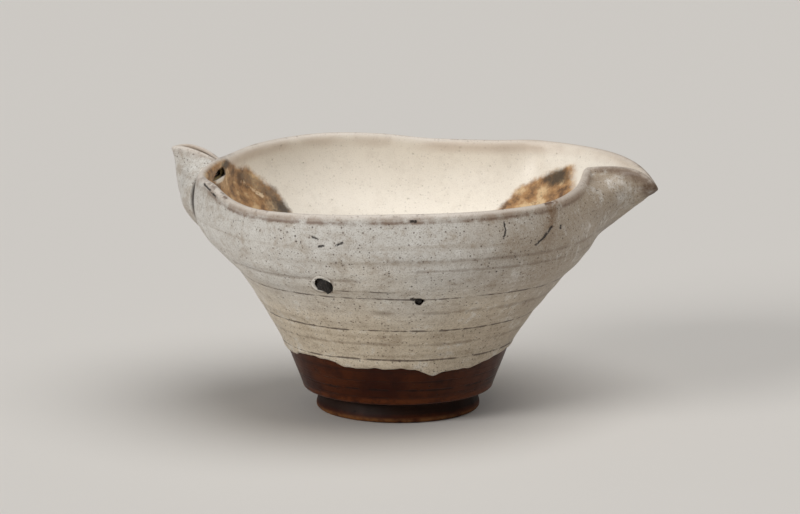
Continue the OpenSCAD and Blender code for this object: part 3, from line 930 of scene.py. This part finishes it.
def slip_material(name, on_bowl):
    mat, net, shader = new_material(name)
    split_place(net)
    wrap = net.node("UVMap", uv_map="rim_wrap")
    mapped = net.node("SeparateXYZ", {"Vector": wrap.outputs[0]}).outputs
    across = net.times(mapped["Y"], TO_MM)
    inside = net.ramp(across, -0.2, 1.6)
    outside = net.minus(1.0, inside)
    broad = net.noise(0.035, 3.0, 0.55)
    cloud = net.noise(0.14, 4.0, 0.62)
    blot = net.noise(0.42, 4.0, 0.7, net.moved("ADD", (31, 7, 13)))
    grain = net.noise(1.3, 3.0, 0.7)
    sand = net.noise(2.3, 2.0, 0.7, net.moved("ADD", (5, 17, 3)))

    # Grey-white outside at the top, warmer lower down, browner towards the lip, and cream inside.
    drift = net.times(net.minus(broad, 0.5), 40.0)
    low = net.fade(net.plus(net.z, drift), 34.0, 66.0)
    right = net.ramp(net.plus(net.x, drift), 8.0, 62.0)
    net.colour = net.blend(low, paint(207, 204, 198), paint(208, 195, 174))
    net.tint((156, 138, 116), right, 0.8)
    net.tint((241, 234, 222), inside)
    patchy = net.scaled(outside, 0.8, 0.2)
    thin = net.ramp(net.plus(net.times(cloud, 0.5), net.times(blot, 0.5)), 0.47, 0.66)
    net.tint((148, 128, 104), thin, patchy, 0.5)
    pooled = net.fade(net.plus(net.times(cloud, 0.6), net.times(blot, 0.4)), 0.36, 0.47)
    net.tint((226, 224, 219), pooled, outside, 0.5)
    lines = net.effect(TURNING, Pitch=2.2)
    net.tint((140, 122, 100), net.ramp(lines, 0.48, 0.7), outside, 0.3)

    # Sand, iron specks and pinholes.
    net.tint((118, 98, 76), net.ramp(sand, 0.5, 0.72), patchy, 0.55)
    net.tint((232, 228, 220), net.fade(sand, 0.28, 0.44), outside, 0.3)
    fine = specks(net, 1.2, 0.55, 0.45)
    dark = specks(net, 3.6, 0.42, 0.5)
    pits = specks(net, 2.7, 0.45, 0.55)
    pepper = net.ramp(net.noise(1.9, 2.0, 0.6, net.moved("ADD", (11, 2, 29))), 0.62, 0.7)
    net.tint((96, 78, 60), pepper, patchy, 0.6)
    net.tint((78, 62, 48), fine, patchy, 0.8)
    net.tint((48, 36, 28), dark, patchy, 0.85)
    net.tint((84, 66, 50), pits, patchy, 0.6)
    net.height = net.plus(net.times(grain, 0.12), net.times(lines, net.scaled(outside, 0.3, 0.05)))
    net.sink(net.most(pits, net.times(dark, 0.6)), 0.5)

    # The rim is rubbed thin: pinkish, with streaks of bare brown clay. Under it outside lie a band of
    # painted shade and a painted shadow line.
    crest = net.fade(net.size(across), 0.5, 2.6)
    net.tint((216, 204, 192), crest, 0.6)
    under = net.times(net.ramp(across, 0.6, 2.0), net.fade(across, 2.6, 6.5))
    net.tint((178, 152, 130), under, net.ramp(broad, 0.32, 0.6), 0.42)
    # Painted shade in a band on the outside just under the rim.
    rim_shade_band = net.times(net.fade(across, -1.8, -0.6), net.ramp(across, -4.6, -2.0))
    net.tint((140, 116, 98), rim_shade_band, net.ramp(cloud, 0.36, 0.6), 0.5)
    streak = net.noise(0.07, 4.0, 0.75, net.moved("MULTIPLY", (1, 1, 0.1)))
    on_crest = net.fade(net.size(net.plus(across, 0.3)), 0.25, 1.2)
    near_side = net.fade(net.y, -45.0, 0.0)
    bare = net.times(on_crest, net.ramp(streak, 0.54, 0.6), net.scaled(near_side, 0.7, 0.3))
    net.tint((88, 62, 44), bare, 0.85)
    # A painted shadow line under the rim's crest, on the near side, wandering a little.
    drop = net.scaled(blot, 1.2, net.plus(across, 2.3))
    rim_shadow_line = net.times(net.fade(net.size(drop), 0.1, 0.8), net.ramp(cloud, 0.32, 0.6), near_side)
    net.tint((104, 78, 60), rim_shadow_line, 0.65)
    net.sink(bare, 0.3)

    if on_bowl:
        mark_bowl(net, across, inside, outside, blot)
    else:
        # Painted shade in the crevice where the spout meets the wall, and stains low down and in the mouth.
        crevice_shade = net.fade(net.times(mapped["X"], TO_MM), 0.6, 1.9)
        seam = net.times(crevice_shade, net.fade(net.z, 77.0, 82.0), outside)
        net.tint((36, 26, 19), seam, 0.9)
        stain = net.times(net.fade(net.z, 62.0, 78.0), net.ramp(cloud, 0.38, 0.62))
        net.tint((132, 112, 90), stain, 0.5)
        mouth = net.times(inside, net.fade(across, 6.0, 14.0))
        net.tint((150, 122, 96), mouth, 0.6)

    surface(net, shader, net.scaled(blot, 0.3, 0.26), sheen=0.4, relief=0.35)
    return mat


def brown_bloom(net, inside, blot):
    """The brown bloom inside: its colour, and where it lies."""
    # On the left it runs from the hole down the wall.
    corner, half_run, bow = (-62.2, 20, 84.4), 14.7, 3.6
    edge = past_plane(net, corner, (-0.611, -0.153, -0.776), 5.0)
    along = net.vector("DOT_PRODUCT", net.moved("SUBTRACT", corner), (0.791, -0.119, -0.599))
    middle = net.calc("DIVIDE", net.minus(along, half_run), half_run)
    edge = net.plus(edge, net.scaled(net.times(middle, middle), -bow, bow))
    left = net.times(
        net.ramp(edge, -0.8, 1.4), net.ramp(net.y, -14.0, 2.0), net.fade(net.x, -36.0, -30.0),
        net.ramp(net.z, 46.0, 58.0),
    )
    # On the right it is a wedge beside the lip.
    right = net.times(
        net.ramp(past_plane(net, (36, 50, 61.3), (0.748, -0.129, -0.65), 5.0), -0.8, 1.6),
        net.ramp(past_plane(net, (43.8, 50, 70.2), (0.368, -0.18, -0.912), 4.0), -0.8, 1.6),
        net.ramp(net.y, 8.0, 18.0), net.ramp(net.z, 46.0, 56.0),
        net.fade(net.plus(net.x, net.times(blot, 4.0)), 63.0, 67.0),
    )
    mottle = net.noise(0.15, 5.0, 0.6)
    tan = net.blend(net.ramp(mottle, 0.34, 0.5), paint(212, 182, 140), paint(168, 126, 80))
    tan = net.tinted(tan, (98, 66, 36), net.ramp(mottle, 0.47, 0.64))
    tan = net.tinted(tan, (84, 58, 34), net.ramp(blot, 0.5, 0.66), 0.5)
    # On the left a pale ridge runs down from the hole, with a dull streak beyond it.
    streak = marks(net, ((-55, 38.5, 75), (-45, 45, 67.5), 3.6))
    tan = net.tinted(tan, (132, 112, 90), streak, 0.6)
    ridge = marks(
        net,
        ((-60.2, 26.5, 79), (-54.5, 36.5, 73.6), 1.5), ((-54.5, 36.5, 73.6), (-49, 41, 67.4), 1.2),
    )
    tan = net.tinted(tan, (230, 206, 172), ridge, 0.85)
    # Darkest where the glaze pooled: low at the left, high at the right, and round the hole.
    pool = patches(
        net,
        ((-43, 44, 62), (10, 9, 7), 1.6, 0.8),
        ((57, 49, 73), (9, 9, 5.0), 1.4, 0.8),
        ((-61, 22, 82), (3, 7, 2.5), 1.2, 0.7),
    )
    tan = net.tinted(tan, (48, 38, 24), pool, 0.92)
    sill = patches(net, ((-62.5, 18, 77.5), (3.5, 7.5, 1.6), 0.5, 0.5))
    return tan, net.times(net.most(left, right), inside, net.minus(1.0, net.times(sill, 0.9)))


def mark_bowl(net, across, inside, outside, blot):
    """What the throwing, the kiln and use left on the bowl and its lip, with painted shade in its scored
    lines and a painted highlight by the stone.
    """
    # Lines scored round the outside, sharp ones and soft bands, sunk and darkened along them as painted
    # shade.
    sharp = grooves(net, (50.4, 0.55), (37.0, 0.6), (25.2, 0.6), (53.4, 0.35, -22.0, 0.0))
    soft = grooves(
        net,
        (65.2, 1.1, -4.0), (61.6, 1.0, 0.0), (44.5, 1.6, -10.0), (57.6, 1.2, -60.0, -10.0), (31.5, 1.2),
    )
    net.tint((108, 86, 66), soft, outside, 0.4)
    net.tint((70, 52, 40), sharp, outside, 0.8)
    net.sink(net.plus(net.times(sharp, 0.7), net.times(soft, 0.25)), outside)

    # A crowd of pinholes under the first line and near the rim.
    holes = specks(net, 1.5, 0.55, 0.5, net.moved("ADD", (3, 1, 2)))
    crowd = patches(
        net,
        ((-12, -57, 48), (26, 12, 3), 1.0, 0.7),
        ((-34, -63, 72), (14, 12, 4), 1.0, 0.7),
        ((30, -56, 64), (24, 14, 6), 1.0, 0.7),
    )
    holes = net.times(holes, crowd, outside)
    net.tint((58, 44, 34), holes, 0.8)
    net.sink(holes, 0.5)

    tan, bloom = brown_bloom(net, inside, blot)
    net.colour = net.blend(net.times(bloom, 0.96), net.colour, tan)

    # The lip: brown at its tip, along its edge, in the hollow beside the bowl and low down.
    tip = patches(net, ((90, -8, 78), (9, 8, 8), 0.9, 0.7))
    edge_band = net.times(
        net.ramp(net.x, 64.0, 72.0), net.fade(across, -0.8, 0.4), net.ramp(across, -6.0, -1.2)
    )
    hollow = patches(
        net,
        ((67, -6, 74), (6, 8, 13), 0.9, 0.8),
        ((70, 2, 60), (14, 14, 11), 0.9, 0.8),
        ((74, 22, 62), (12, 14, 10), 1.0, 0.8),
    )
    stained = net.most(net.times(tip, 0.9), net.times(edge_band, 0.6), net.times(hollow, 0.6))
    stained = net.times(stained, outside, net.scaled(net.ramp(blot, 0.3, 0.6), 0.5, 0.5))
    net.tint((86, 62, 42), stained)

    # And pale again on its side, through fine upright grain.
    pale = patches(net, ((78, -4, 77.5), (9, 8, 7.5), 1.4, 0.8))
    upright = net.noise(0.9, 3.0, 0.7, net.moved("MULTIPLY", (1, 1, 0.45)))
    pale = net.times(pale, outside, net.ramp(upright, 0.36, 0.6))
    net.tint((216, 212, 205), pale, 0.6)

    # A run of brown glaze, the split below it and dark marks, seen from the front.
    front = net.node("CombineXYZ", {"X": net.x, "Z": net.z}).outputs[0]
    near = net.times(net.fade(net.y, -32.0, -24.0), outside)
    ran = net.most(
        marks(net, ((52.4, 0, 80.5), (52, 0, 77), 2.4), ((52, 0, 77), (51.8, 0, 73.4), 1.6), at=front),
        net.times(marks(net, ((53, 0, 81), (51, 0, 70), 4.0), at=front), 0.4),
    )
    net.tint((112, 78, 40), ran, near, 0.6)
    # Each stroke from one place to another, across and up, and its width.
    strokes = (
        (51.8, 73.2, 48.8, 70, 0.6), (48.8, 70, 46.2, 68.2, 0.5), (55.1, 72.8, 55, 72.2, 0.6),
        (-28.4, 73.1, -26.8, 72.4, 0.5), (-26.4, 69.9, -24.8, 70.3, 0.5), (-20.4, 70.6, -18.4, 71.6, 0.5),
        (4.2, 78.9, 6, 78.7, 0.6), (4.6, 50.5, 8.6, 49.8, 0.7), (-66.6, 82.0, -64.5, 81.2, 0.5),
        (-64.5, 81.2, -62.4, 79.9, 0.6), (35.4, 77, 36, 74.4, 0.4), (36, 74.4, 35.4, 71.8, 0.4),
    )
    drawn = marks(net, *[((x, 0, z), (x2, 0, z2), width) for x, z, x2, z2, width in strokes], at=front)
    spot = marks(net, ((-41.6, 52.6, 83.7), (-41.5, 52.6, 83.2), 1.2))
    drawn = net.most(net.times(drawn, outside, net.fade(net.y, -14.0, -8.0)), spot)
    net.tint((30, 21, 16), drawn, 0.92)
    net.sink(drawn, 0.9)

    # A dark line round the crater of the stone, and a white painted highlight at its upper left, on the
    # glaze lip.
    ring = patches(net, ((-25.4, -59, 55.5), (4.4, 12, 4.4), 0.6, 0.2))
    net.tint((92, 74, 58), ring, outside, 0.5)
    crater_lip_highlight = patches(net, ((-25.8, -59, 55.9), (3.65, 12, 3.65), 0.35, 0.12))
    net.tint((236, 232, 224), crater_lip_highlight, outside, 0.9)


def clay_material(name, dry):
    mat, net, shader = new_material(name)
    split_place(net)
    broad = net.noise(0.045, 3.0, 0.6)
    cloud = net.noise(0.22, 4.0, 0.65)
    grain = net.noise(1.6, 3.0, 0.7)
    lines = net.effect(TURNING, Pitch=1.3)
    net.colour = net.blend(net.ramp(broad, 0.35, 0.65), paint(46, 15, 5), paint(74, 34, 11))
    net.tint((36, 12, 6), net.ramp(cloud, 0.45, 0.7), 0.6)
    net.tint((34, 15, 9), net.ramp(lines, 0.5, 0.7), 0.5)
    dark = specks(net, 2.6, 0.35, 0.5)
    net.tint((20, 11, 8), dark, 0.75)
    faint = net.times(grooves(net, (16.5, 0.5), (10.2, 0.4)), 0.6)
    turned = net.most(groove(net, 13.2, 0.7), faint)
    net.tint((24, 11, 7), turned, 0.7)
    net.height = net.plus(net.times(grain, 0.1), net.times(lines, 0.5))
    net.sink(net.plus(net.times(dark, 0.3), net.times(turned, 0.5)))
    if dry:
        rubbed = net.times(net.fade(net.z, 0.9, 2.4), net.ramp(cloud, 0.3, 0.6))
        net.tint((128, 84, 46), rubbed, 0.75)
        net.tint((30, 20, 14), net.ramp(net.z, 2.2, 3.6), 0.75)
        rough = net.scaled(cloud, 0.25, 0.45)
    else:
        lit = net.times(net.fade(net.z, 9.0, 10.6), net.ramp(cloud, 0.35, 0.6))
        net.tint((104, 54, 24), lit, 0.6)
        rough = net.scaled(cloud, 0.3, 0.2)
        # The glaze pooled olive round the hole.
        hole = patches(net, ((-65, 20, 79), (9, 13, 8), 0.3, 0.3))
        net.tint((168, 150, 108), hole, 0.95)
    surface(net, shader, rough, sheen=0.14, relief=0.3)
    return mat


def stone_material():
    mat, net, shader = new_material("burst_stone")
    net.height = grit = net.noise(1.8, 4.0, 0.7)
    net.colour = net.blend(net.ramp(grit, 0.4, 0.7), paint(14, 9, 7), paint(44, 32, 24))
    glint = specks(net, 0.9, 0.2, 0.2)
    net.tint((120, 106, 90), glint, 0.5)
    surface(net, shader, net.scaled(grit, 0.4, 0.4), sheen=0.5, relief=0.4)
    return mat


def dress(obj, material, slot, *nodes):
    obj.data.materials.clear()
    obj.data.materials.append(material)
    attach(obj, "root")
    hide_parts(*nodes)


# Making the pourer.

coat = slip_coat()
spout = spout_coat()
bowl = bowl_clay()
cutter = hole_cutter()
pierce(coat, cutter)
pierce(bowl, cutter)
bpy.data.objects.remove(cutter)
burst(STONE_ANGLE, STONE_LEVEL, STONE_R, 5, coat, bowl)
burst(PEBBLE_ANGLE, PEBBLE_LEVEL, PEBBLE_R * 1.2, 11, coat, bowl)
edit(bowl, lambda: bpy.ops.mesh.dissolve_degenerate(threshold=MERGE))
lip_body = sheet_clay("clay_lip", lip_sheet, 6)
spout_body = sheet_clay("clay_spout", spout_sheet, 2)
ring = foot_ring()
stone = burst_stone("burst_stones", STONE_ANGLE, STONE_LEVEL, STONE_R, 3)
pebble = burst_stone("pebble", PEBBLE_ANGLE, PEBBLE_LEVEL, PEBBLE_R, 8)
only(stone)
pebble.select_set(True)
bpy.ops.object.join()

glazed_clay = clay_material("glazed_red_clay", dry=False)
dress(coat, slip_material("bowl_slip", True), "slip", "outside_slip", "inside_slip", "lip_slip")
dress(spout, slip_material("spout_slip", False), "slip", "spout_slip")
dress(bowl, glazed_clay, "clay", "bowl")
dress(lip_body, glazed_clay, "clay", "pouring_lip")
dress(spout_body, glazed_clay, "clay", "spout")
dress(ring, clay_material("bare_foot_clay", dry=True), "clay", "foot_ring")
dress(stone, stone_material(), "stone", "wall_stones")


# The floor, the light and the camera. Each lamp's name, strength, spread in degrees, and the way to it.
LAMPS = (("overhead", 1.95, 60, (0.3, -0.1, 1)), ("side", 1.6, 26, (-0.8, -0.62, 0.45)))
# The camera's lens and sensor in millimetres, its tilt in degrees, its distance in metres and its aim.
LENS, SENSOR, TILT, DISTANCE, AIM = 180, 36, 11.2, 1.4, (0.7, 0, 53.1)


def studio():
    bpy.ops.mesh.primitive_plane_add(size=8)
    floor = bpy.context.active_object
    floor.name = "studio_floor"
    mat, _, shader = new_material("pale_floor")
    shader.inputs["Base Color"].default_value = paint(214, 211, 207)
    shader.inputs["Roughness"].default_value = 0.75
    floor.data.materials.append(mat)
    world = bpy.data.worlds.new("soft_room")
    bpy.context.scene.world = world
    world.use_nodes = True
    back = world.node_tree.nodes["Background"]
    back.inputs["Color"].default_value = (0.97, 0.98, 1, 1)
    back.inputs["Strength"].default_value = 0.14
    for name, strength, spread, way in LAMPS:
        lamp = bpy.data.lights.new(name, "SUN")
        lamp.energy = strength
        lamp.angle = math.radians(spread)
        lamp.color = (1, 0.985, 0.96)
        key = bpy.data.objects.new(name, lamp)
        bpy.context.scene.collection.objects.link(key)
        key.rotation_euler = Vector(way).to_track_quat("Z", "Y").to_euler()


def camera():
    lens = bpy.data.cameras.new("photo_view")
    lens.lens = LENS
    lens.sensor_width = SENSOR
    lens.clip_end = 20
    eye = bpy.data.objects.new("photo_view", lens)
    bpy.context.scene.collection.objects.link(eye)
    tilt = math.radians(TILT)
    eye.location = Vector(AIM) * MM + Vector((0, -math.cos(tilt), math.sin(tilt))) * DISTANCE
    eye.rotation_euler = (math.radians(90) - tilt, 0, 0)
    bpy.context.scene.camera = eye


studio()
camera()
bpy.context.scene.view_settings.view_transform = "Standard"
bpy.context.view_layer.update()
